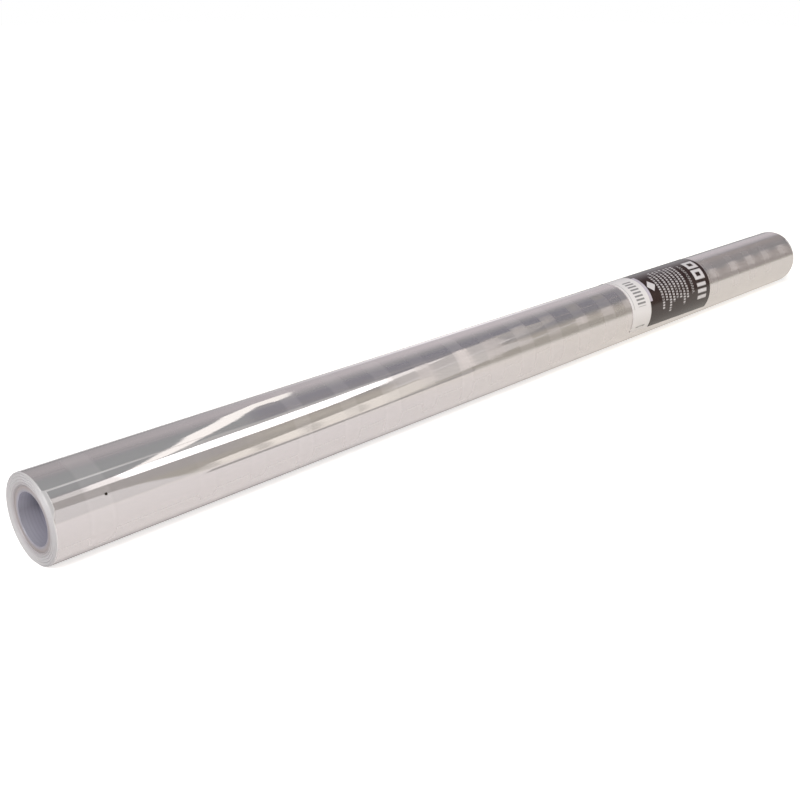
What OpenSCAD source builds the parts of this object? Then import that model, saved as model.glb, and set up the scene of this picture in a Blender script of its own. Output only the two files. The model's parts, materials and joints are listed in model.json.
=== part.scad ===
// Roll of clear plastic film, wound on a plastic core, with a paper label.
// It lies along X on the small flat spot that its own weight presses into it.
// Angles round the roll start at the front (-Y) and go up over the top.

/* [Roll] */
// Width of the film, which is the length of the roll
film_width = 700; // [320:10:1200]
// Outside diameter of the wound film
roll_d = 44; // [38:1:90]
// Width of the flat spot on the underside
rest_flat_w = 8; // [4:0.5:12]

/* [Core] */
// Bore of the core, for a one-inch spindle
core_bore_d = 25.4; // [16:0.2:28]
// Wall of the core
core_wall = 2.8; // [1:0.1:3.5]
// How far the core's ends lie inside the film's ends
core_recess = 0.8; // [0.2:0.1:4]
// Chamfer at the bore's two mouths
core_chamfer = 0.5; // [0.2:0.1:0.9]

/* [Turns] */
// Angle at which the film's tail edge lies
tail_angle = 54; // [20:1:100]
// How far the tail edge stands up from the turn below
tail_step = 0.15; // [0.05:0.05:0.4]
// Radial pitch of the bundles of turns that show on the ends
bundle_pitch = 1.3; // [0.8:0.1:2]
// How far a bundle stands out of the end face
bundle_relief = 0.3; // [0.1:0.1:0.6]
// Radial size of the slope where the outer turns step back
edge_slope_r = 0.4; // [0.1:0.1:1]
// Size of the same slope along the roll
edge_slope_x = 0.9; // [0.7:0.1:3]

/* [Label] */
// Length of the label along the roll
label_l = 108; // [40:1:150]
// Distance from the label to the roll's +X end
label_end_gap = 144; // [20:1:160]
// Angle of the label's lower edge at the front
label_from = -28; // [-40:1:10]
// Arc that the label covers
label_arc = 158; // [60:1:180]
// Thickness of the label
label_t = 0.12; // [0.1:0.01:0.4]

/* [Hidden] */
$fn = 96;
// Play of a cutting shape past the face that it cuts
cut = 1;
roll_r = roll_d / 2;
bore_r = core_bore_d / 2;
core_r = bore_r + core_wall;
core_l = film_width - 2 * core_recess;
// Height of the roll's axis above its flat spot
axis_z = sqrt(pow(roll_r, 2) - pow(rest_flat_w / 2, 2));
// Half turns of the raised bundle that fit between the outside and the core
half_turns = floor(2 * (roll_r - core_r - bundle_pitch) / bundle_pitch) + 1;

// Local x points to the front, local y up, and local z runs back from the +X end
module on_axis() {
    translate([film_width / 2, 0, axis_z])
        rotate([90, 0, -90])
            children();
}

// The half of a disc that lies above its own x axis
module half_disc(r) {
    intersection() {
        circle(r = r);
        translate([-r, 0])
            square([2 * r, r]);
    }
}

// The same half with a round hole of radius r_in about its centre
module half_ring(r, r_in) {
    difference() {
        half_disc(r);
        circle(r = r_in);
    }
}

// Section of the roll: two arcs on two centres, so that the outer turn ends in a step
module wound_section() {
    rotate(tail_angle) {
        half_disc(roll_r);
        translate([-tail_step / 2, 0])
            rotate(180)
                half_disc(roll_r - tail_step / 2);
    }
}

// Spiral bundle of turns: half rings on two centres, each half a pitch smaller
module bundle_spiral() {
    rotate(tail_angle)
        for (i = [0 : half_turns - 1]) {
            odd = i % 2;
            r = roll_r - i * bundle_pitch / 2;
            translate([-odd * bundle_pitch / 2, 0])
                rotate(odd * 180)
                    half_ring(r, r - bundle_pitch / 2);
        }
}

// Outer form of revolution, sloped where the outer turns step back at the ends
module end_slopes() {
    rotate_extrude()
        polygon([
            [0, 0],
            [roll_r - edge_slope_r, 0],
            [roll_r, edge_slope_x],
            [roll_r, film_width - edge_slope_x],
            [roll_r - edge_slope_r, film_width],
            [0, film_width]
        ]);
}

// The film, with all its turns as one solid
module film_winding() {
    color([0.82, 0.82, 0.83])
        on_axis()
            difference() {
                intersection() {
                    union() {
                        translate([0, 0, bundle_relief])
                            linear_extrude(film_width - 2 * bundle_relief)
                                wound_section();
                        linear_extrude(film_width)
                            intersection() {
                                bundle_spiral();
                                wound_section();
                            }
                    }
                    end_slopes();
                }
                translate([0, 0, -cut])
                    cylinder(h = film_width + 2 * cut, r = core_r);
                translate([-roll_r, -axis_z - roll_r, -cut])
                    cube([roll_d, roll_r, film_width + 2 * cut]);
            }
}

// Plain plastic tube, chamfered at both mouths of its bore
module core_tube() {
    color([0.58, 0.59, 0.65])
        on_axis()
            translate([0, 0, core_recess])
                rotate_extrude()
                    polygon([
                        [bore_r + core_chamfer, 0],
                        [core_r, 0],
                        [core_r, core_l],
                        [bore_r + core_chamfer, core_l],
                        [bore_r, core_l - core_chamfer],
                        [bore_r, core_chamfer]
                    ]);
}

// Printed paper label, stuck round the front and over the top
module label() {
    color([0.13, 0.12, 0.13])
        on_axis()
            translate([0, 0, label_end_gap])
                rotate(label_from)
                    rotate_extrude(angle = label_arc)
                        translate([roll_r, 0])
                            square([label_t, label_l]);
}

core_tube();
film_winding();
label();
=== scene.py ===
import json
import math

import bmesh
import bpy
import numpy as np
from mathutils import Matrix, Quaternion, Vector


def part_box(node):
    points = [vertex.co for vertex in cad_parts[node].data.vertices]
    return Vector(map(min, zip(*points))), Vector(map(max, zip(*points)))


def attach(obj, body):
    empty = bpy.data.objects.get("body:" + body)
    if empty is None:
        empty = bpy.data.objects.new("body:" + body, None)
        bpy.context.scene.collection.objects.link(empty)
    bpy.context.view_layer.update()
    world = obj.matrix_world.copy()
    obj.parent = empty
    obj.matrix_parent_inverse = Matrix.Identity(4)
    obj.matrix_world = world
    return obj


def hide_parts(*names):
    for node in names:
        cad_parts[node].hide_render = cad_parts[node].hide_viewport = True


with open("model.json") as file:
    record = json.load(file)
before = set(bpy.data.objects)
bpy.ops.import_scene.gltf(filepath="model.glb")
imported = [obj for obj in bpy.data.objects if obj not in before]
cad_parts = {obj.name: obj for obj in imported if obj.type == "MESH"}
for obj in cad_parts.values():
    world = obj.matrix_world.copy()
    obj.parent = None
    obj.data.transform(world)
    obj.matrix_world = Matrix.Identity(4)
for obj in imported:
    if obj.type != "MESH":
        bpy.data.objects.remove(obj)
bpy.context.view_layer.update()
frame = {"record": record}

# Sizes taken from the frame, in metres
MM = 0.001
mounts = {mount["name"]: mount for mount in frame["record"]["mounts"]}
film_low, film_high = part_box("film_winding")
core_low, core_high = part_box("core_tube")
label_low, label_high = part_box("label")
AXIS_Z = mounts["core_bore"]["pos_m"][2]
BORE_R = mounts["core_bore"]["dims"]["r_mm"] * MM
NEAR_X = film_low.x
FAR_X = film_high.x
ROLL_R = film_high.z - AXIS_Z
CORE_R = (core_high.z - core_low.z) / 2

# Form of the winding, as in the part's own source
TAIL_ANGLE = math.radians(54)
TAIL_STEP = 0.15 * MM
BUNDLE_PITCH = 1.3 * MM
BUNDLE_RELIEF = 0.3 * MM
END_SLOPE_R = 0.4 * MM
END_SLOPE_X = 0.9 * MM
TAIL_DEGREES = math.degrees(TAIL_ANGLE)

# Soft rings round the film: middle and width in mm from the near end, haze, and milkiness
RINGS = [
    (23, 12, 0.0, 0.5), (79, 9, 0.0, 0.15), (110, 9, 0.02, 0.15), (141, 10, 0.04, 0.6),
    (174, 11, 0.08, 0.5), (205, 12, 0.10, 0.5), (235, 11, 0.22, 0.2), (268, 10, 0.06, 0.7),
    (296, 13, 0.22, 0.2), (327, 14, 0.12, 0.5), (357, 13, 0.08, 0.5), (388, 12, 0.06, 0.5),
    (419, 13, 0.05, 0.5), (444, 9, 0.04, 0.3), (564, 9, 0.02, 0.3), (597, 10, 0.02, 0.3),
    (625, 11, 0.02, 0.3), (652, 10, 0.02, 0.3), (680, 10, 0.02, 0.2),
]
# How high the rings stand, and how soft their edges are in the film's material, in mm
RING_HEIGHT = 0.004 * MM
RING_SOFT = 1.6
# Slow waves of the loose last turn: heights, and lengths along the roll
WAVE_HEIGHTS = (0.006 * MM, 0.003 * MM)
WAVE_LENGTHS = (23 * MM, 9.1 * MM)
# How far the film's skin is set in, so that its waves stay inside the solid
SKIN_INSET = RING_HEIGHT + 0.02 * MM
# The film's ends: how far the face is set in, single turns on it, and the shoulder beside the core
FACE_INSET = 0.03 * MM
FINE_HEIGHT = 0.005 * MM
FINE_LENGTHS = (0.052 * MM, 0.083 * MM)
SHOULDER_DEPTH = 0.45 * MM
SHOULDER_WIDTH = 1.8 * MM
# The film's mesh: points round it, on a face and in the seat, and the steps along its side
FILM_COLUMNS = 129
BESIDE_TAIL = (0.0, 0.15, 0.5, 1.2)
FACE_ROWS = 72
SEAT_ROWS = 8
SEAT_INSET = 1.5 * MM
SIDE_STEP = 1.45 * MM
SLOPE_STEP = 0.15 * MM
SLOPE_LENGTH = 2 * MM

# The film's material. A pair goes from bare film to the haziest or the milkiest ring.
FILM_COLOUR = (0.80, 0.755, 0.75)
# Next, the pale colour of the painted highlight below the tail edge
TAIL_HIGHLIGHT_COLOUR = (0.80, 0.79, 0.79)
EDGE_COLOUR = (0.49, 0.476, 0.48)
FILM_METALLIC = (0.73, 0.64)
FILM_ROUGHNESS = (0.036, 0.13)
MILKY_ROUGHNESS = 0.45
RIDGE_DEPTH = 0.045 * MM
RIDGE_SHARE = (0.02, 1.0)
# Reach of the milky cut edges in mm, plainly and below the tail of the last turn, and their sharpness
EDGE_REACH = (0.5, 2.3)
EDGE_SHARPNESS = 1.4
# The painted highlight below the tail edge, a pale milky line: degrees from the tail, softness, strength,
# and where it fades, in mm
TAIL_HIGHLIGHT = (-1.9, 0.2)
TAIL_HIGHLIGHT_SOFT = 0.9
TAIL_HIGHLIGHT_STRENGTH = 0.42
TAIL_HIGHLIGHT_END = 49.5
TAIL_HIGHLIGHT_FADE = 45.0

# The film's ends: two tones of the turns, cloudy patches, and the core that shows through the inner turns
END_COLOURS = ((0.47, 0.455, 0.455), (0.50, 0.485, 0.485))
END_CLOUD_COLOUR = (0.49, 0.475, 0.50)
END_INNER_COLOUR = (0.34, 0.305, 0.315)
END_INNER_SHARE = 0.8
END_INNER_REACH = 1.3
END_INNER_SOFT = 3.0

# The core: roundings, and the extrusion rings inside its mouths
CORE_COLUMNS = 128
CORE_RIM_ROUND = 0.15 * MM
CORE_MOUTH_ROUND = 0.5 * MM
CORE_INSET = 0.02 * MM
CORE_SEAT_INSET = 4 * MM
CORE_RING_DEPTH = 45 * MM
CORE_RING_STEP = 0.3 * MM
CORE_RING_LENGTH = 0.25 * MM
CORE_RING_HEIGHT = 0.03 * MM
# The core's colours: the bore's near the mouth and, in painted shade, deeper in, each from the lower to the
# upper half, which is painted lighter; then the rim's, from the inner to the outer edge
MOUTH_PAINTED_LIGHT_COLOURS = ((0.30, 0.295, 0.345), (0.78, 0.77, 0.90))
DEEP_PAINTED_SHADE_AND_LIGHT_COLOURS = ((0.155, 0.15, 0.20), (0.62, 0.62, 0.76))
CORE_RIM_COLOURS = ((0.30, 0.28, 0.31), (0.315, 0.27, 0.26))
CORE_CLOUD_COLOUR = (0.36, 0.35, 0.41)
# Distance from an end, in mm, at which the bore's colour changes to the painted shade deeper in, and how
# softly
BORE_PAINTED_SHADE_START = 7.5
BORE_PAINTED_SHADE_SOFT = 10.0

# The label's place, and how far it leans along the roll and drops towards the far end, per unit
LABEL_FROM = math.asin((label_low.z - AXIS_Z) / ROLL_R)
LABEL_TO = math.acos(-label_high.y / ROLL_R)
LABEL_MIDDLE = (LABEL_FROM + LABEL_TO) / 2
LABEL_MIDDLE_X = (label_low.x + label_high.x) / 2 - 0.7 * MM
LABEL_LEAN = 0.062
LABEL_DROP = -0.025
MM_PER_DEGREE = ROLL_R / MM * math.radians(1)
# Degrees of the label's face in a mm, for the softness of its marks
DEGREES_PER_MM = 2.6
# The label's sheet
LABEL_THICKNESS = 0.1 * MM
LABEL_GAP = 0.005 * MM
LABEL_LIFT = 0.05 * MM
LABEL_LIFT_REACH = 1.2 * MM
LABEL_WAVE = 0.008 * MM
# Colours of the label. A pair is the two tones of the paper's grain.
INK_COLOURS = ((0.028, 0.0135, 0.0125), (0.034, 0.018, 0.017))
# The greyer tone of the ink over the top of the roll is a painted sheen
INK_SHEEN_COLOUR = (0.095, 0.083, 0.086)
MARK_COLOUR = (0.74, 0.70, 0.71)
PAPER_COLOURS = ((0.84, 0.80, 0.80), (0.88, 0.845, 0.84))
GREY_COLOUR = (0.10, 0.095, 0.095)
TINT_COLOUR = (0.60, 0.55, 0.62)
# Angle above which the ink is painted greyer as a sheen, and how softly
INK_SHEEN_FROM = 88.0
INK_SHEEN_SOFT = 18.0
# Width of the white strip and pitch of the rows of strokes, in mm
WHITE_WIDTH = 23.8
ROW_PITCH = 4.86
# Rows of strokes on the label: middle in mm from its left edge, lower end and upper end in degrees
ROWS = [(41.2, 0, 74), (46.1, 15, 84), (50.9, -8, 85), (55.8, 8, 85), (60.6, 12, 85), (65.5, 12, 84),
        (70.4, -3, 85), (75.2, 8, 84)]
ROW_HALF = 1.35
STROKE_PITCH = 5.2
# Other marks: from and to in mm from the label's left edge, and from and to in degrees
PALE_ROW = (81.4, 84.8, 13.0, 80.0)
SQUARES = [(90.6, 104.6, 62.0, 84.0), (90.2, 104.0, 36.0, 58.0)]
SQUARE_WALL = (4.0, 6.5)
SQUARE_SOFT = 0.7
BARS = [(90.0, 102.6, low, low + 7.0) for low in (-3.0, 9.5, 22.0)]
BAR_SOFT = 0.8
TINT = (WHITE_WIDTH, WHITE_WIDTH + 3.4, 22.0, 84.0)
COMB = (8.0, 18.0, 18.0, 76.0)
COMB_PITCH = 7.2
THIN_LINE = (2.4, 3.1, 15.0, 95.0)
NOTE_LINE = (6.0, 18.0, -21.0, -18.0)
MARK_SOFT = 0.25
# The diamond: its middle in mm and degrees, half its width in mm, and mm per degree of its height
DIAMOND_MIDDLE = (33.5, 51.0)
DIAMOND_HALF = 5.2
DIAMOND_SLOPE = 0.42

# The speck of dirt: its place, its radius, how flat it lies, and its colours
SPECK_X = NEAR_X + 26.7 * MM
SPECK_ANGLE = math.radians(27.0)
SPECK_R = 0.62 * MM
SPECK_FLATNESS = 0.75
SPECK_COLOURS = ((0.008, 0.006, 0.004), (0.03, 0.022, 0.012))

# The camera, placed from the centre of the roll's near end
CAMERA_FROM_NEAR_END = Vector((-0.18955, -0.406136, 0.214519))
CAMERA_FORWARD = Vector((0.673925, 0.648478, -0.353980))
CAMERA_ROLL = 0.0012
CAMERA_LENS = 48.16
SENSOR_WIDTH = 36.0
CAMERA_PLACE = Vector((NEAR_X, 0, AXIS_Z)) + CAMERA_FROM_NEAR_END

# The room's colour at angles in degrees from the front horizon over the top to the back
ROOM = [
    (0, (0.70, 0.68, 0.63)),
    (4, (0.46, 0.45, 0.39)),
    (10, (0.27, 0.25, 0.20)),
    (24, (0.27, 0.25, 0.20)),
    (34, (0.35, 0.325, 0.26)),
    (44, (0.29, 0.26, 0.21)),
    (55, (0.13, 0.125, 0.12)),
    (64.5, (0.05, 0.051, 0.082)),
    (100.5, (0.064, 0.064, 0.11)),
    (114, (0.18, 0.18, 0.20)),
    (130, (0.42, 0.395, 0.42)),
    (140, (0.525, 0.485, 0.51)),
    (164, (0.53, 0.505, 0.53)),
    (180, (0.36, 0.36, 0.37)),
]
# Colours of the room away from the middle: overhead near the near end, in front of it, and far along
NEAR_COLOUR = (0.13, 0.155, 0.165)
FRONT_COLOUR = (0.235, 0.22, 0.21)
FAR_COLOURS = ((0.235, 0.20, 0.19), (0.155, 0.145, 0.15))
WHITE = (1.0, 1.0, 1.0)
BLACK = (0.0, 0.0, 0.0)

# Where the sources are, in metres: the level ones above the roll's axis, and the standing ones by their y
CARD_HEIGHT = 1.0
LINE_HEIGHT = 0.98
SLAT_HEIGHT = 0.4
WALL_Y = -1.6
EDGE_Y = -0.12
# Outlines of the sources, by where they show in the film: mm from the near end, and degrees
SOFTBOX = [
    (38, 36.8), (120, 36.8), (160, 37.8), (185, 40.0), (203, 42.2), (203, 48.6), (170, 47.4), (120, 46.2),
    (80, 45.6), (50, 44.8), (34, 43.4),
]
SOFTBOX_FRINGE = [
    (62, 46.2), (120, 46.6), (170, 47.8), (203, 49.0), (203, 51.2), (170, 50.6), (120, 49.8), (88, 50.8),
    (72, 48.8),
]
SOFTBOX_END = [(203, 42.2), (220, 44.2), (238, 46.6), (256, 50.0), (240, 50.2), (220, 49.4), (203, 48.6)]
SOFTBOX_TAIL = [
    (203, 29.7), (236, 32.2), (270, 35.6), (300, 39.2), (306, 40.4), (306, 50.2), (290, 53.2), (262, 52.0),
    (240, 50.6), (238, 47.0), (220, 44.6), (203, 42.6),
]
SOFTBOX_EDGE = [(18, 37.0), (38, 36.8), (34, 43.4), (18, 42.4)]
SOFTBOX_DIM = [(-2, 37.0), (18, 37.0), (18, 42.4), (-2, 42.0)]
SOFTBOX_FADE = [
    (306, 36.5), (325, 40.0), (352, 47.5), (352, 55.5), (325, 57.5), (300, 57.0), (290, 53.2), (306, 50.2),
]
UPPER_LINE = [
    (206, 30.0), (250, 35.6), (300, 41.2), (318, 44.0), (318, 45.4), (300, 42.8), (250, 37.4), (206, 31.6),
]
LOWER_LINE = [
    (272, 23.8), (305, 27.0), (345, 30.6), (392, 35.0), (392, 36.6), (345, 32.3), (305, 28.8), (272, 25.4),
]
STRIP = [
    (38, 43.9), (62, 46.2), (90, 56.0), (105, 62.0), (113, 67.0), (121, 72.4), (121, 79.9), (100, 74.0),
    (75, 62.0), (56, 50.6),
]
STRIP_END = [(121, 72.4), (130, 72.6), (134, 70.8), (141, 72.0), (146, 80.8), (121, 79.9)]
WINDOW_END = [
    (232, 17.6), (262, 20.2), (300, 25.2), (325, 29.2), (325, 35.2), (300, 38.2), (262, 35.6), (232, 31.2),
]
SCREEN = [
    (-30, 7.5), (82, 7.5), (82, 10.5), (76, 12.5), (66, 16.5), (56, 20.5), (45, 24.5), (30, 27.0), (0, 28.6),
    (-30, 29.0),
]
TABLE_EDGE = [
    (78, 9.0), (150, 10.1), (200, 11.8), (240, 13.2), (275, 14.4), (275, 18.6), (240, 16.0), (200, 13.9),
    (150, 12.3), (82, 11.5),
]
# Level sources: name, outline, colour, strength and height
LEVEL_CARDS = [
    ("softbox", SOFTBOX, (1.0, 1.0, 1.0), 2.3, CARD_HEIGHT),
    ("softbox_fringe", SOFTBOX_FRINGE, (0.97, 1.0, 0.98), 0.36, CARD_HEIGHT),
    ("softbox_end", SOFTBOX_END, (1.0, 0.985, 0.96), 1.0, CARD_HEIGHT),
    ("softbox_tail", SOFTBOX_TAIL, (1.0, 0.965, 0.93), 0.46, CARD_HEIGHT),
    ("upper_line", UPPER_LINE, (1.0, 0.985, 0.96), 0.66, LINE_HEIGHT),
    ("lower_line", LOWER_LINE, (1.0, 0.98, 0.95), 0.52, LINE_HEIGHT),
    ("softbox_edge", SOFTBOX_EDGE, (1.0, 0.985, 0.97), 1.1, CARD_HEIGHT),
    ("softbox_dim", SOFTBOX_DIM, (1.0, 0.985, 0.97), 0.62, CARD_HEIGHT),
    ("strip_light", STRIP, (1.0, 0.99, 0.95), 1.25, CARD_HEIGHT),
    ("strip_light_end", STRIP_END, (1.0, 0.985, 0.94), 1.2, CARD_HEIGHT),
]
FADE_COLOUR = (1.0, 0.965, 0.93)
FADE_STRENGTH = 0.27
# Standing sources: name, outline, colour, strength, y, and whether it lights more than reflections
STANDING_CARDS = [
    ("window_end", WINDOW_END, (1.0, 0.975, 0.92), 0.54, WALL_Y, True),
    ("table_screen", SCREEN, (1.0, 0.985, 0.98), 0.64, WALL_Y, True),
    ("table_edge", TABLE_EDGE, (1.0, 0.96, 0.90), 0.26, EDGE_Y, False),
]
# Panes of the window: from and to in mm from the near end, and strength
PANES = [
    (76, 85, 0.54), (85, 105, 0.93), (105, 115, 0.58), (115, 136, 1.0), (136, 147, 0.60), (147, 168, 0.94),
    (168, 179, 0.64), (179, 198, 0.92), (198, 208, 0.78), (208, 232, 0.78),
]
PANE_COLOUR = (1.0, 0.965, 0.87)
PANE_POINTS = 4
# The window's sill and head: mm from the near end, and degrees
WINDOW_SILL = [(70, 11.6), (95, 11.1), (150, 12.1), (200, 14.4), (232, 17.6)]
WINDOW_HEAD = [(70, 16.2), (82, 19.8), (120, 21.8), (160, 24.6), (200, 27.8), (232, 31.2)]
# Slats of light, one or two for each ring: from and to in mm, from and to in degrees, and strength
SLATS = [
    (229.5, 241, 20.5, 51, 0.80), (263, 273.5, 22, 53.5, 0.92), (290, 303.5, 25, 54.5, 0.62),
    (321, 334, 25.5, 34, 0.56), (321, 334, 46, 61, 0.42), (352, 363, 26, 36.5, 0.48),
    (352, 363, 49, 63, 0.26), (382, 394, 27.5, 39.5, 0.74), (382, 394, 55, 70, 0.15),
    (412, 425, 26.5, 41.5, 0.60), (412, 425, 60, 72, 0.12), (438.5, 448.5, 27, 43, 0.54),
    (559, 569, 26, 45, 0.56), (591.5, 602.5, 26, 46, 0.62), (619.5, 631, 26, 46, 0.56),
    (647, 658, 26, 46, 0.56), (675, 686, 24, 46, 0.54),
]
SLAT_COLOUR = (1.0, 0.93, 0.88)
SLAT_POINTS = 6
LAMP_PLACE = Vector((-2.2, -1.1, 2.1))
LAMP_POWER = 92.0
LAMP_SIZE = 1.4

# The floor: half its width, its depth below the roll, and how far the camera sees it lifted to white
FLOOR_HALF = 8.0
FLOOR_DEPTH = 0.05 * MM
FLOOR_LIFT = 0.62
# Edges on the floor and their softness: where it counts as behind the roll, and where it turns warmer
FLOOR_BEHIND = (0.09, 0.08)
FLOOR_WARM = (0.0, 0.25)
FLOOR_COLOURS = ((0.86, 0.835, 0.825), (0.86, 0.825, 0.765))
FLOOR_TONES = ((1.0, 0.97, 0.96), (1.0, 0.96, 0.89))
# In reflections, the floor behind the roll outside the painted glow takes this darker grey
FLOOR_BEHIND_REFLECTED_COLOUR = (0.38, 0.385, 0.40)
# What the film sees of the floor: a painted glow behind, an even tone in front, and painted shade in the
# nook below the roll
PAINTED_GLOW_PLACE = (0.14, 0.25)
PAINTED_GLOW_STRENGTH = 0.6
EVEN_STRENGTH = 0.56
PAINTED_NOOK_SHADE = (-0.0135, 0.03, 0.008)
PAINTED_NOOK_SHADE_STRENGTHS = (0.1, 0.55)


def point_on_roll(x, theta, radius):
    """Row-frame points at distance x along the roll and angle theta, from the front over the top."""
    x, theta, radius = np.broadcast_arrays(x, theta, radius)
    return np.stack([x, -radius * np.cos(theta), AXIS_Z + radius * np.sin(theta)], axis=-1)


def outward(theta):
    """The direction straight out of the roll at an angle."""
    return Vector((0, -math.cos(theta), math.sin(theta)))


def new_object(name, data):
    """An object in the scene that holds this mesh, camera or lamp."""
    thing = bpy.data.objects.new(name, data)
    bpy.context.scene.collection.objects.link(thing)
    return thing


def grid_mesh(name, points, materials, slot_of_row=None, closed_rows=False, closed_columns=False):
    """A mesh over a grid of points, with quads between neighbours and, where closed, round the ends."""
    rows, columns = points.shape[:2]
    row = np.arange(rows if closed_rows else rows - 1)
    column = np.arange(columns if closed_columns else columns - 1)
    row, column = np.meshgrid(row, column, indexing="ij")
    next_row = (row + 1) % rows
    next_column = (column + 1) % columns
    quads = np.stack([row * columns + column, next_row * columns + column,
                      next_row * columns + next_column, row * columns + next_column], axis=-1)
    mesh = bpy.data.meshes.new(name)
    mesh.from_pydata(points.reshape(-1, 3).tolist(), [], quads.reshape(-1, 4).tolist())
    for material in materials:
        mesh.materials.append(material)
    if slot_of_row is not None:
        mesh.polygons.foreach_set("material_index", np.asarray(slot_of_row)[row].ravel())
    return new_object(name, mesh)


def finish_piece(piece, slot, *replaced, sharp_angle=35):
    """Points the faces outwards, smooths all but sharp edges, and gives the piece its place in the frame."""
    work = bmesh.new()
    work.from_mesh(piece.data)
    bmesh.ops.recalc_face_normals(work, faces=work.faces)
    work.to_mesh(piece.data)
    work.free()
    piece.data.shade_smooth()
    piece.data.set_sharp_from_angle(angle=math.radians(sharp_angle))
    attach(piece, "root")
    if replaced:
        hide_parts(*replaced)


class Graph:
    """Builds the nodes of one material. A value is a number, a colour or another node's output."""

    def __init__(self, name):
        self.material = bpy.data.materials.new(name)
        self.material.use_nodes = True
        self.tree = self.material.node_tree
        self.shader = self.tree.nodes["Principled BSDF"]

    def put(self, socket, value):
        if isinstance(value, bpy.types.NodeSocket):
            self.tree.links.new(value, socket)
        elif hasattr(value, "__len__") and len(value) == 3 and len(socket.default_value) == 4:
            socket.default_value = (*value, 1.0)
        else:
            socket.default_value = value

    def set(self, **values):
        """Sets sockets of the shader, with an underscore for each space of a socket's name."""
        for name, value in values.items():
            self.put(self.shader.inputs[name.replace("_", " ")], value)

    def math(self, operation, a, b=0.0, c=0.0, clamp=False):
        node = self.tree.nodes.new("ShaderNodeMath")
        node.operation = operation
        node.use_clamp = clamp
        for socket, value in zip(node.inputs, (a, b, c)):
            self.put(socket, value)
        return node.outputs[0]

    def add(self, a, b):
        return self.math("ADD", a, b)

    def times(self, a, b):
        return self.math("MULTIPLY", a, b)

    def inverse(self, share):
        """1 minus the share."""
        return self.math("SUBTRACT", 1.0, share)

    def linear(self, value, slope, offset, clamp=True):
        """slope times the value plus offset, kept from 0 to 1 where clamp is set."""
        return self.math("MULTIPLY_ADD", value, slope, offset, clamp)

    def length(self, a, b):
        """The length of the vector (a, b)."""
        return self.math("SQRT", self.add(self.times(a, a), self.times(b, b)))

    def largest(self, *values):
        top = values[0]
        for value in values[1:]:
            top = self.math("MAXIMUM", top, value)
        return top

    def above(self, value, low, soft):
        """0 below low and 1 above it, with an edge that is soft wide."""
        return self.linear(value, 1 / soft, 0.5 - low / soft)

    def below(self, value, high, soft):
        """1 below high and 0 above it, with an edge that is soft wide."""
        return self.linear(value, -1 / soft, 0.5 + high / soft)

    def band(self, value, low, high, soft):
        """1 between low and high, and 0 outside."""
        return self.times(self.above(value, low, soft), self.below(value, high, soft))

    def mix(self, share, a, b):
        """A number that goes from a to b as share goes from 0 to 1."""
        node = self.tree.nodes.new("ShaderNodeMix")
        node.data_type = "FLOAT"
        self.put(node.inputs[0], share)
        self.put(node.inputs[2], a)
        self.put(node.inputs[3], b)
        return node.outputs[0]

    def mix_colour(self, share, a, b):
        node = self.tree.nodes.new("ShaderNodeMix")
        node.data_type = "RGBA"
        self.put(node.inputs[0], share)
        self.put(node.inputs[6], a)
        self.put(node.inputs[7], b)
        return node.outputs[2]

    def coordinates(self, kind):
        """The point's x, y and z in the object's own space, or the direction's in the world."""
        split = self.tree.nodes.new("ShaderNodeSeparateXYZ")
        self.put(split.inputs[0], self.tree.nodes.new("ShaderNodeTexCoord").outputs[kind])
        return tuple(split.outputs)

    def place(self):
        """The point's distance from the near end in mm, its angle in degrees and its radius in mm."""
        x, y, z = self.coordinates("Object")
        along = self.times(self.add(x, -NEAR_X), 1 / MM)
        front = self.times(y, -1.0)
        up = self.add(z, -AXIS_Z)
        angle = self.times(self.math("ARCTAN2", up, front), math.degrees(1))
        return along, angle, self.times(self.length(front, up), 1 / MM)

    def from_end(self, along):
        """The distance from the nearer end of the roll, in mm."""
        from_far_end = self.add((FAR_X - NEAR_X) / MM, self.times(along, -1.0))
        return self.math("MINIMUM", along, from_far_end)

    def is_ray(self, kind):
        """1 for rays of this kind, such as Camera, and 0 for others."""
        return self.tree.nodes.new("ShaderNodeLightPath").outputs[f"Is {kind} Ray"]

    def noise(self, x, y, z, detail):
        """Noise from 0 to 1, with a grain of about one unit of x, y and z."""
        vector = self.tree.nodes.new("ShaderNodeCombineXYZ")
        for socket, value in zip(vector.inputs, (x, y, z)):
            self.put(socket, value)
        node = self.tree.nodes.new("ShaderNodeTexNoise")
        self.put(node.inputs["Vector"], vector.outputs[0])
        node.inputs["Scale"].default_value = 1.0
        node.inputs["Detail"].default_value = detail
        return node.outputs[0]

    def bump(self, height, strength, distance):
        node = self.tree.nodes.new("ShaderNodeBump")
        self.put(node.inputs["Height"], height)
        node.inputs["Strength"].default_value = strength
        node.inputs["Distance"].default_value = distance
        self.put(self.shader.inputs["Normal"], node.outputs[0])


def ring_masks(graph, along):
    """How hazy and how milky the soft rings make the film."""
    bands = [graph.band(along, middle - width / 2, middle + width / 2, RING_SOFT)
             for middle, width, _, _ in RINGS]
    haze = graph.largest(*(graph.times(band, ring[2]) for band, ring in zip(bands, RINGS)))
    cloud = graph.largest(*(graph.times(band, ring[3]) for band, ring in zip(bands, RINGS)))
    return haze, cloud


def cut_edge(graph, along, angle):
    """The cut edges at the two ends, which are milky, and broader below the tail of the last turn."""
    below_tail = graph.times(graph.below(angle, TAIL_DEGREES, 2.5), graph.above(angle, 25.0, 12.0))
    reach = graph.mix(below_tail, *EDGE_REACH)
    inside = graph.times(graph.from_end(along), -1.0)
    return graph.linear(graph.add(reach, inside), EDGE_SHARPNESS, 0.5)


def tail_highlight(graph, along, angle):
    """A painted highlight: the pale milky line below the tail edge, which fades along the roll."""
    low, high = (TAIL_DEGREES + offset for offset in TAIL_HIGHLIGHT)
    fade = graph.below(along, TAIL_HIGHLIGHT_END, TAIL_HIGHLIGHT_FADE)
    return graph.times(graph.band(angle, low, high, TAIL_HIGHLIGHT_SOFT), graph.times(fade, TAIL_HIGHLIGHT_STRENGTH))


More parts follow.
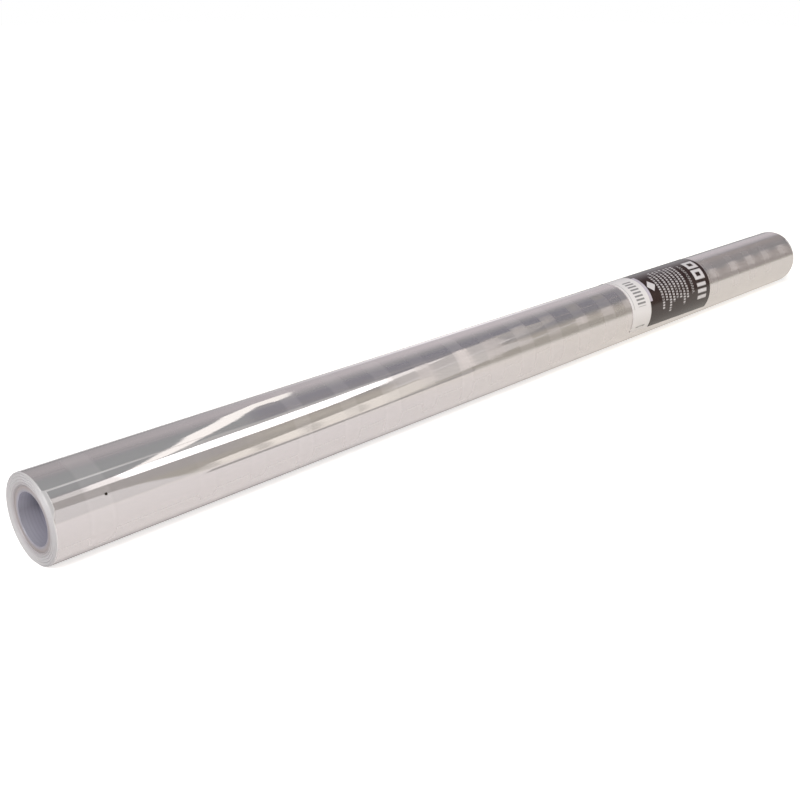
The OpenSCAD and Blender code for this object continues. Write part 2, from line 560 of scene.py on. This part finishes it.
def film_side_material():
    """Many turns of clear film: a milky mirror, hazier on the rings that repeat along it."""
    graph = Graph("clear_film_side")
    along, angle, _ = graph.place()
    haze, cloud = ring_masks(graph, along)
    strands = graph.noise(graph.times(along, 0.9), graph.times(angle, 0.01), 0.0, 3.0)
    haze = graph.times(haze, graph.mix(strands, 0.3, 1.6))
    edge = cut_edge(graph, along, angle)
    # The milky cut edges, and the painted highlight below the tail edge
    milky_edge_and_highlight = graph.largest(edge, tail_highlight(graph, along, angle))
    graph.set(
        Base_Color=graph.mix_colour(milky_edge_and_highlight, FILM_COLOUR, graph.mix_colour(edge, TAIL_HIGHLIGHT_COLOUR, EDGE_COLOUR)),
        Metallic=graph.mix(milky_edge_and_highlight, graph.mix(cloud, *FILM_METALLIC), 0.0),
        Roughness=graph.mix(milky_edge_and_highlight, graph.mix(haze, *FILM_ROUGHNESS), MILKY_ROUGHNESS),
    )
    # Hair-fine ridges run round the roll, so they spread a reflection along it and not across
    hairs = graph.noise(graph.times(along, 5.0), 0.0, 0.0, 2.0)
    graph.bump(graph.times(hairs, graph.mix(haze, *RIDGE_SHARE)), 1.0, RIDGE_DEPTH)
    return graph.material


def film_end_material():
    """Edges of the turns seen on the end: pale, satin and finely ringed."""
    graph = Graph("clear_film_end")
    _, angle, radius = graph.place()
    rings = graph.noise(graph.times(radius, 5.0), graph.times(angle, 0.01), 0.0, 3.0)
    clouds = graph.noise(graph.times(radius, 0.3), graph.times(angle, 0.02), 0.0, 2.0)
    turns = graph.mix_colour(rings, *END_COLOURS)
    turns = graph.mix_colour(graph.times(clouds, 0.5), turns, END_CLOUD_COLOUR)
    inner = graph.below(radius, CORE_R / MM + END_INNER_REACH, END_INNER_SOFT)
    graph.set(
        Base_Color=graph.mix_colour(graph.times(inner, END_INNER_SHARE), turns, END_INNER_COLOUR),
        Roughness=graph.mix(rings, 0.5, 0.42),
        Coat_Weight=0.12,
        Coat_Roughness=0.3,
    )
    graph.bump(rings, 0.12, 0.02 * MM)
    return graph.material


def core_material():
    """Blue-grey plastic with a browner outside, and painted light and shade in the bore: lighter in its
    upper half, darker deeper in.
    """
    graph = Graph("core_plastic")
    along, angle, radius = graph.place()
    cloud = graph.noise(graph.times(along, 0.3), graph.times(angle, 0.02), radius, 3.0)
    # Painted shade: the bore is painted darker further in from each mouth
    depth = graph.above(graph.from_end(along), BORE_PAINTED_SHADE_START, BORE_PAINTED_SHADE_SOFT)
    # Painted light: the upper half of the bore is painted lighter, standing in for light that comes through
    # the film
    upper = graph.linear(graph.math("SINE", graph.times(angle, math.radians(1))), 1.7, 0.03)
    painted_light_mouth = graph.mix_colour(upper, *MOUTH_PAINTED_LIGHT_COLOURS)
    painted_shade_deep = graph.mix_colour(upper, *DEEP_PAINTED_SHADE_AND_LIGHT_COLOURS)
    inside = graph.mix_colour(depth, painted_light_mouth, painted_shade_deep)
    outer = graph.above(radius, CORE_R / MM - 1.5, 1.0)
    on_rim = graph.above(radius, BORE_R / MM + 0.1, 0.5)
    colour = graph.mix_colour(on_rim, inside, graph.mix_colour(outer, *CORE_RIM_COLOURS))
    graph.set(
        Base_Color=graph.mix_colour(graph.times(cloud, 0.2), colour, CORE_CLOUD_COLOUR),
        Roughness=graph.mix(cloud, 0.32, 0.44),
        Coat_Weight=0.15,
        Coat_Roughness=0.2,
    )
    rings = graph.noise(graph.times(along, 1.8), graph.times(angle, 0.004), 0.0, 2.0)
    graph.bump(graph.times(rings, depth), 0.6, 0.25 * MM)
    return graph.material


class LabelGraph(Graph):
    """The same node helpers, with masks for marks on the label."""

    def __init__(self, name):
        """u runs along the label from its left edge, in mm, and v is the angle at its middle line."""
        super().__init__(name)
        along, angle, _ = self.place()
        across = self.add(along, -(LABEL_MIDDLE_X - NEAR_X) / MM)
        around = self.times(self.add(angle, -math.degrees(LABEL_MIDDLE)), MM_PER_DEGREE)
        u = self.add(across, self.times(around, -LABEL_LEAN))
        v = self.add(around, self.times(u, -LABEL_DROP))
        self.u = self.add(u, (label_high.x - label_low.x) / 2 / MM)
        self.v = self.add(self.times(v, 1 / MM_PER_DEGREE), math.degrees(LABEL_MIDDLE))

    def block(self, mark, soft=MARK_SOFT):
        """A filled mark: from and to in mm, and from and to in degrees."""
        u_low, u_high, v_low, v_high = mark
        across = self.band(self.u, u_low, u_high, soft)
        return self.times(across, self.band(self.v, v_low, v_high, DEGREES_PER_MM * soft))

    def hollow(self, mark, wall_u, wall_v, soft):
        """The same with a hole in it."""
        u_low, u_high, v_low, v_high = mark
        hole = self.block((u_low + wall_u, u_high - wall_u, v_low + wall_v, v_high - wall_v), soft)
        return self.times(self.block(mark, soft), self.inverse(hole))

    def strokes(self):
        """Short strokes in runs, each row of them starting at its own height."""
        from_first = self.add(self.u, -ROWS[0][0] + ROW_PITCH / 2)
        row = self.math("FLOOR", self.times(from_first, 1 / ROW_PITCH))
        dashes = self.math("FRACT", self.add(self.times(self.v, 1 / STROKE_PITCH), self.times(row, 0.37)))
        runs = self.noise(self.times(self.u, 0.45), self.times(self.v, 0.085), 0.0, 2.0)
        return self.times(self.band(dashes, 0.14, 0.72, 0.24), self.above(runs, 0.40, 0.10))

    def diamond(self):
        """The plain diamond."""
        middle_u, middle_v = DIAMOND_MIDDLE
        from_middle_u = self.math("ABSOLUTE", self.add(self.u, -middle_u))
        from_middle_v = self.math("ABSOLUTE", self.add(self.v, -middle_v))
        away = self.add(from_middle_u, self.times(from_middle_v, DIAMOND_SLOPE))
        return self.below(away, DIAMOND_HALF, 0.5)

    def light_marks(self, strokes):
        """Rows of strokes, a paler row, two hollow squares, three bars and the diamond."""
        rows = self.largest(*(self.block((middle - ROW_HALF, middle + ROW_HALF, low, high))
                              for middle, low, high in ROWS))
        rows = self.times(rows, self.mix(strokes, 0.06, 0.85))
        pale_row = self.times(self.times(self.block(PALE_ROW), strokes), 0.45)
        squares = [self.hollow(mark, *SQUARE_WALL, SQUARE_SOFT) for mark in SQUARES]
        bars = [self.block(mark, BAR_SOFT) for mark in BARS]
        return self.largest(rows, pale_row, *squares, *bars, self.diamond())

    def grey_marks(self, strokes):
        """A comb of equal bars, a thin line and a short line of strokes, on the white strip."""
        teeth = self.band(self.math("FRACT", self.times(self.v, 1 / COMB_PITCH)), 0.1, 0.6, 0.15)
        comb = self.times(self.times(teeth, self.block(COMB)), 0.75)
        note = self.times(self.block(NOTE_LINE), self.mix(strokes, 0.3, 0.8))
        return self.largest(comb, self.times(self.block(THIN_LINE), 0.4), note)


def label_material():
    """Glossy coated paper: a white strip and a dark panel, with rows and blocks of plain marks."""
    graph = LabelGraph("label_paper")
    paper = graph.noise(graph.times(graph.u, 0.4), graph.times(graph.v, 0.2), 0.0, 4.0)
    strokes = graph.strokes()
    dark = graph.mix_colour(paper, *INK_COLOURS)
    # Painted sheen: the ink is painted greyer where the panel runs over the top of the roll
    dark = graph.mix_colour(graph.above(graph.v, INK_SHEEN_FROM, INK_SHEEN_SOFT), dark, INK_SHEEN_COLOUR)
    dark = graph.mix_colour(graph.light_marks(strokes), dark, MARK_COLOUR)
    pale = graph.mix_colour(paper, *PAPER_COLOURS)
    pale = graph.mix_colour(graph.grey_marks(strokes), pale, GREY_COLOUR)
    colour = graph.mix_colour(graph.below(graph.u, WHITE_WIDTH, 0.3), dark, pale)
    graph.set(
        Base_Color=graph.mix_colour(graph.block(TINT), colour, TINT_COLOUR),
        Roughness=graph.mix(paper, 0.12, 0.19),
        IOR=1.52,
    )
    graph.bump(paper, 0.06, 0.05 * MM)
    return graph.material


def speck_material():
    """Dull, nearly black dirt."""
    graph = Graph("dirt_speck")
    along, angle, radius = graph.place()
    grain = graph.noise(graph.times(along, 6.0), angle, graph.times(radius, 6.0), 3.0)
    graph.set(
        Base_Color=graph.mix_colour(grain, *SPECK_COLOURS),
        Roughness=0.6,
        Specular_IOR_Level=0.2,
    )
    return graph.material


def wound_radius(turn):
    """Radius of the winding's outline, turn being the angle from the tail edge back round the roll."""
    theta = TAIL_ANGLE + turn
    shift = TAIL_STEP / 2
    inner_arc = -shift * np.cos(turn) + np.sqrt((ROLL_R - shift) ** 2 - (shift * np.sin(turn)) ** 2)
    radius = np.where(turn <= math.pi, ROLL_R, inner_arc)
    down = np.maximum(-np.sin(theta), 1e-9)
    return np.minimum(radius, AXIS_Z / down)


def ring_profile(along):
    """Height of the soft rings at a distance from the near end, from 0 to 1."""
    height = np.zeros_like(along)
    for middle, width, _, _ in RINGS:
        reach = np.clip(1 - np.abs(along / MM - middle) / (0.8 * width), 0, 1)
        height = np.maximum(height, reach * reach * (3 - 2 * reach))
    return height


def film_outer(x, turn):
    """Radius of the film's outer face, with soft rings and the slow waves of the loose last turn."""
    along = x - NEAR_X
    from_end = np.minimum(along, FAR_X - x)
    slope = np.clip(1 - from_end / END_SLOPE_X, 0, 1)
    long_waves = WAVE_HEIGHTS[0] * np.sin(along / WAVE_LENGTHS[0] + 2.2 * np.sin(turn + 0.4))
    short_waves = WAVE_HEIGHTS[1] * np.sin(along / WAVE_LENGTHS[1] + 1.7 * np.cos(2 * turn))
    radius = wound_radius(turn) - SKIN_INSET + RING_HEIGHT * ring_profile(along)
    return radius + (long_waves + short_waves) - END_SLOPE_R * slope ** 2


def end_depth(radius, turn):
    """How far the end face lies inside the roll's full length: a spiral bundle, and finer ridges."""
    phase = np.mod((ROLL_R - radius) / BUNDLE_PITCH - turn / (2 * math.pi), 1.0)
    raised = np.clip((0.25 - np.abs(phase - 0.25)) * 2.4 + 0.5, 0, 1)
    raised = raised * raised * (3 - 2 * raised)
    fine = (FINE_HEIGHT * np.sin(radius / FINE_LENGTHS[0] + 1.5 * np.sin(turn))
            + FINE_HEIGHT * np.sin(radius / FINE_LENGTHS[1] + 2 * np.cos(turn)))
    shoulder = SHOULDER_DEPTH * np.clip(1 - (radius - CORE_R) / SHOULDER_WIDTH, 0, 1) ** 2
    return np.maximum(BUNDLE_RELIEF * (1 - raised) + FACE_INSET + fine + shoulder, 0)


def along_samples(step, end_step, end_length):
    """Distances along the roll, closer together over the end slopes."""
    ends = np.arange(end_step, end_length, end_step)
    middle = np.linspace(end_length, FAR_X - NEAR_X - end_length,
                         int((FAR_X - NEAR_X - 2 * end_length) / step))
    return NEAR_X + np.concatenate([ends, middle, (FAR_X - NEAR_X) - ends[::-1]])


def make_film():
    """The whole winding as one closed skin: outer face, both ends and the seat of the core."""
    # Columns crowd together beside the tail edge, so that reflections run straight up to it
    beside_tail = np.radians(BESIDE_TAIL)
    even = np.linspace(0, 2 * math.pi, FILM_COLUMNS)[1:-1]
    turn = np.concatenate([beside_tail, even, 2 * math.pi - beside_tail[::-1]])[None, :]
    theta = TAIL_ANGLE + turn
    share = np.linspace(0, 1, FACE_ROWS)[:, None]
    rim = wound_radius(turn) - END_SLOPE_R
    face_radius = CORE_R + share * (rim - CORE_R)
    depth = end_depth(face_radius, turn)
    near_face = point_on_roll(NEAR_X + depth, theta, face_radius)
    far_face = point_on_roll(FAR_X - depth, theta, face_radius)[::-1]
    x = along_samples(SIDE_STEP, SLOPE_STEP, SLOPE_LENGTH)[:, None]
    side = point_on_roll(x, theta, film_outer(x, turn))
    seat_x = np.linspace(FAR_X - SEAT_INSET, NEAR_X + SEAT_INSET, SEAT_ROWS)[:, None]
    seat = point_on_roll(seat_x, theta, CORE_R)
    points = np.concatenate([near_face, side, far_face, seat])
    # The first material is the side's, and the second is that of the ends and the seat
    slots = np.ones(len(points), int)
    slots[len(near_face) - 1: len(near_face) + len(side)] = 0
    piece = grid_mesh("wound_film", points, [film_side_material(), film_end_material()], slots,
                      closed_rows=True, closed_columns=True)
    finish_piece(piece, "clear_film", "film_winding")


def core_profile():
    """Half of the core's section, as x and radius: rim, rounded mouth and fading extrusion rings."""
    quarter = np.linspace(0, math.pi / 2, 7)
    outer_r = CORE_R - CORE_INSET
    profile = [(core_low.x + CORE_SEAT_INSET, outer_r)]
    profile += [(core_low.x + CORE_RIM_ROUND * (1 - math.cos(a)),
                 outer_r - CORE_RIM_ROUND * (1 - math.sin(a)))
                for a in quarter[::-1]]
    profile += [(core_low.x + CORE_MOUTH_ROUND * (1 - math.cos(a)),
                 BORE_R + CORE_MOUTH_ROUND * (1 - math.sin(a)))
                for a in quarter]
    inside = np.arange(CORE_MOUTH_ROUND + 0.05 * MM, CORE_RING_DEPTH, CORE_RING_STEP)
    fade = 1 - inside / CORE_RING_DEPTH
    profile += [(core_low.x + s, BORE_R + CORE_RING_HEIGHT * f * math.sin(s / CORE_RING_LENGTH))
                for s, f in zip(inside, fade)]
    return profile


def make_core():
    """The plastic tube, with rounded rims and shallow extrusion rings inside its mouths."""
    angle = np.linspace(0, 2 * math.pi, CORE_COLUMNS, endpoint=False)[None, :]
    half = core_profile()
    profile = np.array(half + [(-x, r) for x, r in reversed(half)])
    points = point_on_roll(profile[:, :1], angle, profile[:, 1:])
    piece = grid_mesh("core", points, [core_material()], closed_rows=True, closed_columns=True)
    finish_piece(piece, "core_plastic", "core_tube", sharp_angle=50)


def make_label():
    """The label: a thin closed sheet wrapped round the film, stuck a little askew, with lifted edges."""
    length = label_high.x - label_low.x
    arc = ROLL_R * (LABEL_TO - LABEL_FROM)
    u = np.linspace(-length / 2, length / 2, 109)[:, None]
    v = np.linspace(-arc / 2, arc / 2, 84)[None, :]
    x = LABEL_MIDDLE_X + u + v * LABEL_LEAN
    theta = LABEL_MIDDLE + (v + u * LABEL_DROP) / ROLL_R
    to_edge = np.minimum(length / 2 - np.abs(u), arc / 2 - np.abs(v))
    lift = LABEL_LIFT * np.clip(1 - to_edge / LABEL_LIFT_REACH, 0, 1) ** 2
    wave = LABEL_WAVE * (1 + np.sin(u / (6.3 * MM) + 2 * np.sin(v / (11 * MM))))
    under = ROLL_R + LABEL_GAP + wave + lift
    upper = point_on_roll(x, theta, under + LABEL_THICKNESS)
    lower = point_on_roll(x, theta, under)
    sheet = np.concatenate([upper, lower[:, ::-1]], axis=1)
    piece = grid_mesh("printed_label", sheet, [label_material()], closed_columns=True)
    close_ends(piece, *sheet.shape[:2])
    finish_piece(piece, "label_paper", "label")


def close_ends(piece, rows, columns):
    """Adds the faces that close a tube of points at its first and last row."""
    work = bmesh.new()
    work.from_mesh(piece.data)
    work.verts.ensure_lookup_table()
    half = columns // 2
    for first in (0, (rows - 1) * columns):
        for i in range(half - 1):
            corners = (i, i + 1, columns - 2 - i, columns - 1 - i)
            work.faces.new([work.verts[first + c] for c in corners])
    work.to_mesh(piece.data)
    work.free()


def make_speck():
    """One speck of dirt on the front of the film, near the near end."""
    place = Vector(point_on_roll(SPECK_X, SPECK_ANGLE, ROLL_R))
    out = outward(SPECK_ANGLE)
    work = bmesh.new()
    bmesh.ops.create_icosphere(work, subdivisions=3, radius=SPECK_R)
    for vertex in work.verts:
        uneven = 1 + 0.16 * math.sin(vertex.co.x * 9000) + 0.12 * math.cos(vertex.co.y * 7000)
        flat = vertex.co - out * vertex.co.dot(out) * SPECK_FLATNESS
        vertex.co = place + flat * uneven
    mesh = bpy.data.meshes.new("dirt_speck")
    work.to_mesh(mesh)
    work.free()
    mesh.materials.append(speck_material())
    finish_piece(new_object("dirt_speck", mesh), "clear_film")


def make_camera():
    """The camera, where the photo was taken from."""
    data = bpy.data.cameras.new("camera")
    data.lens = CAMERA_LENS
    data.sensor_width = SENSOR_WIDTH
    data.clip_start = 0.01
    data.clip_end = 100
    camera = new_object("camera", data)
    camera.location = CAMERA_PLACE
    camera.rotation_mode = "QUATERNION"
    level = CAMERA_FORWARD.to_track_quat("-Z", "Y")
    camera.rotation_quaternion = level @ Quaternion((0, 0, 1), CAMERA_ROLL)
    bpy.context.scene.camera = camera


def stage_mesh(name, corners, material):
    """A flat polygon that isn't part of the object."""
    mesh = bpy.data.meshes.new(name)
    mesh.from_pydata(corners, [], [tuple(range(len(corners)))])
    mesh.materials.append(material)
    flat = new_object(name, mesh)
    return flat


def floor_material():
    """White, lifted for the camera with the shadow kept, and in the reflections a painted glow behind and
    painted shade under the roll.
    """
    graph = Graph("floor")
    camera = graph.is_ray("Camera")
    glossy = graph.is_ray("Glossy")
    x, y, _ = graph.coordinates("Object")
    behind = graph.above(y, *FLOOR_BEHIND)
    in_front = graph.inverse(behind)
    warm = graph.above(x, *FLOOR_WARM)
    # Far from the roll, the camera sees the floor fully white
    far = graph.linear(graph.length(x, y), 0.6, -0.35)
    lift = graph.times(camera, graph.add(FLOOR_LIFT, far))
    # Painted light: a pool of glow on the floor behind the roll, seen only in reflections
    glow_x, glow_y = PAINTED_GLOW_PLACE
    from_glow = graph.length(graph.add(x, -glow_x), graph.add(y, -glow_y))
    glow = graph.times(graph.linear(from_glow, -2.2, 1.25), behind)
    # In front, the film sees mostly the table's own even tone, with painted shade where the roll stands on
    # it
    under = graph.band(y, *PAINTED_NOOK_SHADE)
    near_half = graph.below(x, 0.0, 0.3)
    painted_nook_shade = graph.times(graph.times(under, under), graph.mix(near_half, *PAINTED_NOOK_SHADE_STRENGTHS))
    even = graph.times(in_front, graph.inverse(painted_nook_shade))
    shine = graph.add(graph.times(glow, PAINTED_GLOW_STRENGTH), graph.times(even, EVEN_STRENGTH))
    tone = graph.mix_colour(camera, graph.mix_colour(warm, *FLOOR_TONES), WHITE)
    colour = graph.mix_colour(warm, *FLOOR_COLOURS)
    colour = graph.mix_colour(graph.times(graph.times(in_front, glossy), 0.7), colour, BLACK)
    # In reflections, the floor behind the roll outside the glow is painted a darker grey
    reflected_behind = graph.times(graph.math("SUBTRACT", behind, glow), glossy)
    graph.set(
        Base_Color=graph.mix_colour(reflected_behind, colour, FLOOR_BEHIND_REFLECTED_COLOUR),
        Roughness=0.9,
        Specular_IOR_Level=0.0,
        Emission_Color=tone,
        Emission_Strength=graph.add(lift, graph.times(shine, glossy)),
    )
    return graph.material


def make_floor():
    """A white table, just below the roll."""
    half = FLOOR_HALF
    corners = [(x, y, -FLOOR_DEPTH) for x, y in ((-half, -half), (half, -half), (half, half), (-half, half))]
    stage_mesh("floor", corners, floor_material())


def mirrored(along, degrees, wall_y, height):
    """The point that shows in the film at this place, on the wall at wall_y or on the level at height."""
    theta = math.radians(degrees)
    point = Vector(point_on_roll(NEAR_X + along * MM, theta, ROLL_R))
    ray = (point - CAMERA_PLACE).normalized().reflect(outward(theta))
    if wall_y is None:
        return point + ray * ((AXIS_Z + height - point.z) / ray.z)
    return point + ray * ((wall_y - point.y) / ray.y)


def light_card(name, outline, colour, strength, wall_y=None, height=CARD_HEIGHT, casts=True):
    """A flat source, its outline given by where it shows in the film: mm from the near end, and degrees."""
    material = bpy.data.materials.new(name)
    material.use_nodes = True
    nodes = material.node_tree.nodes
    nodes.clear()
    emission = nodes.new("ShaderNodeEmission")
    emission.inputs["Color"].default_value = (*colour, 1)
    emission.inputs["Strength"].default_value = strength
    output = nodes.new("ShaderNodeOutputMaterial")
    material.node_tree.links.new(emission.outputs[0], output.inputs["Surface"])
    card = stage_mesh(name, [mirrored(*place, wall_y, height) for place in outline], material)
    card.visible_camera = False
    card.visible_shadow = casts
    card.visible_diffuse = casts


def pane_outline(start, end):
    """The part of the window between two distances from the near end."""
    places = np.linspace(start, end, PANE_POINTS)
    lower = [(x, np.interp(x, *zip(*WINDOW_SILL))) for x in places]
    upper = [(x, np.interp(x, *zip(*WINDOW_HEAD))) for x in places]
    return lower + upper[::-1]


def slat_outline(start, end, low, high):
    """The part of one ring between two angles."""
    places = np.linspace(low, high, SLAT_POINTS)
    return [(start, degrees) for degrees in places] + [(end, degrees) for degrees in places[::-1]]


def make_lights():
    """The sources that show in the film, and a broad lamp behind the camera that does not."""
    for name, outline, colour, strength, height in LEVEL_CARDS:
        light_card(name, outline, colour, strength, height=height)
    for number, (start, end, strength) in enumerate(PANES):
        light_card(f"window_pane_{number}", pane_outline(start, end), PANE_COLOUR, strength, WALL_Y)
    for name, outline, colour, strength, wall_y, casts in STANDING_CARDS:
        light_card(name, outline, colour, strength, wall_y, casts=casts)
    for number, (start, end, low, high, strength) in enumerate(SLATS):
        light_card(f"slat_{number}", slat_outline(start, end, low, high), SLAT_COLOUR, strength,
                   height=SLAT_HEIGHT, casts=False)
    light_card("softbox_fade", SOFTBOX_FADE, FADE_COLOUR, FADE_STRENGTH)
    data = bpy.data.lights.new("broad_lamp", "AREA")
    data.shape = "DISK"
    data.size = LAMP_SIZE
    data.energy = LAMP_POWER
    lamp = new_object("broad_lamp", data)
    lamp.location = LAMP_PLACE
    lamp.rotation_mode = "QUATERNION"
    lamp.rotation_quaternion = (-LAMP_PLACE).to_track_quat("-Z", "Y")


class WorldGraph(Graph):
    """The same node helpers, for the world."""

    def __init__(self, name):
        world = bpy.data.worlds.new(name)
        world.use_nodes = True
        bpy.context.scene.world = world
        self.tree = world.node_tree
        self.shader = self.tree.nodes["Background"]


def room_ramp(graph, degrees):
    """The room's colour from the front horizon over the top to the back."""
    ramp = graph.tree.nodes.new("ShaderNodeValToRGB")
    graph.put(ramp.inputs[0], graph.times(degrees, 1 / 180))
    stops = ramp.color_ramp.elements
    for stop, (angle, colour) in zip(stops, (ROOM[0], ROOM[-1])):
        stop.position = angle / 180
        stop.color = (*colour, 1)
    for angle, colour in ROOM[1:-1]:
        stops.new(angle / 180).color = (*colour, 1)
    return ramp.outputs[0]


def room_colour(graph, degrees, slant):
    """The room's colour, with what lies overhead near the near end, in front of it, and far along."""
    near = graph.times(graph.below(slant, 0.69, 0.03), graph.band(degrees, 60.0, 112.0, 10.0))
    room = graph.mix_colour(near, room_ramp(graph, degrees), NEAR_COLOUR)
    front = graph.times(graph.below(slant, 0.68, 0.08), graph.band(degrees, 24.0, 50.0, 8.0))
    room = graph.mix_colour(front, room, FRONT_COLOUR)
    far = graph.times(graph.above(slant, 1.5, 0.25), graph.band(degrees, 7.0, 118.0, 12.0))
    shade = graph.mix_colour(graph.band(degrees, 52.0, 90.0, 16.0), *FAR_COLOURS)
    return graph.mix_colour(graph.times(far, 0.85), room, shade)


def room_strength(graph, degrees, slant):
    """1, but the back wall is dimmer towards the near end, and glows low down in the middle."""
    gain = graph.linear(slant, 0.85, 0.2, clamp=False)
    gain = graph.math("MAXIMUM", graph.math("MINIMUM", gain, 1.05), 0.5)
    gain = graph.mix(graph.above(degrees, 118.0, 16.0), 1.0, gain)
    offset = graph.times(graph.add(slant, -1.06), 1 / 0.27)
    lobe = graph.math("EXPONENT", graph.times(graph.times(offset, offset), -1.0))
    low = graph.above(degrees, 171.0, 20.0)
    glow = graph.times(lobe, graph.math("POWER", low, 1.5))
    return graph.add(gain, graph.times(glow, 3.6))


def make_world():
    """A studio room by direction: degrees from the front horizon over the top, and slant along the roll."""
    graph = WorldGraph("studio")
    x, y, z = graph.coordinates("Generated")
    degrees = graph.times(graph.math("ARCTAN2", z, graph.times(y, -1.0)), math.degrees(1))
    slant = graph.math("DIVIDE", x, graph.math("MAXIMUM", graph.length(y, z), 0.05))
    camera = graph.is_ray("Camera")
    graph.set(
        Color=graph.mix_colour(camera, room_colour(graph, degrees, slant), WHITE),
        Strength=graph.mix(camera, room_strength(graph, degrees, slant), 1.0),
    )


bpy.context.scene.view_settings.view_transform = "Standard"
make_camera()
make_world()
make_lights()
make_floor()
make_film()
make_core()
make_label()
make_speck()
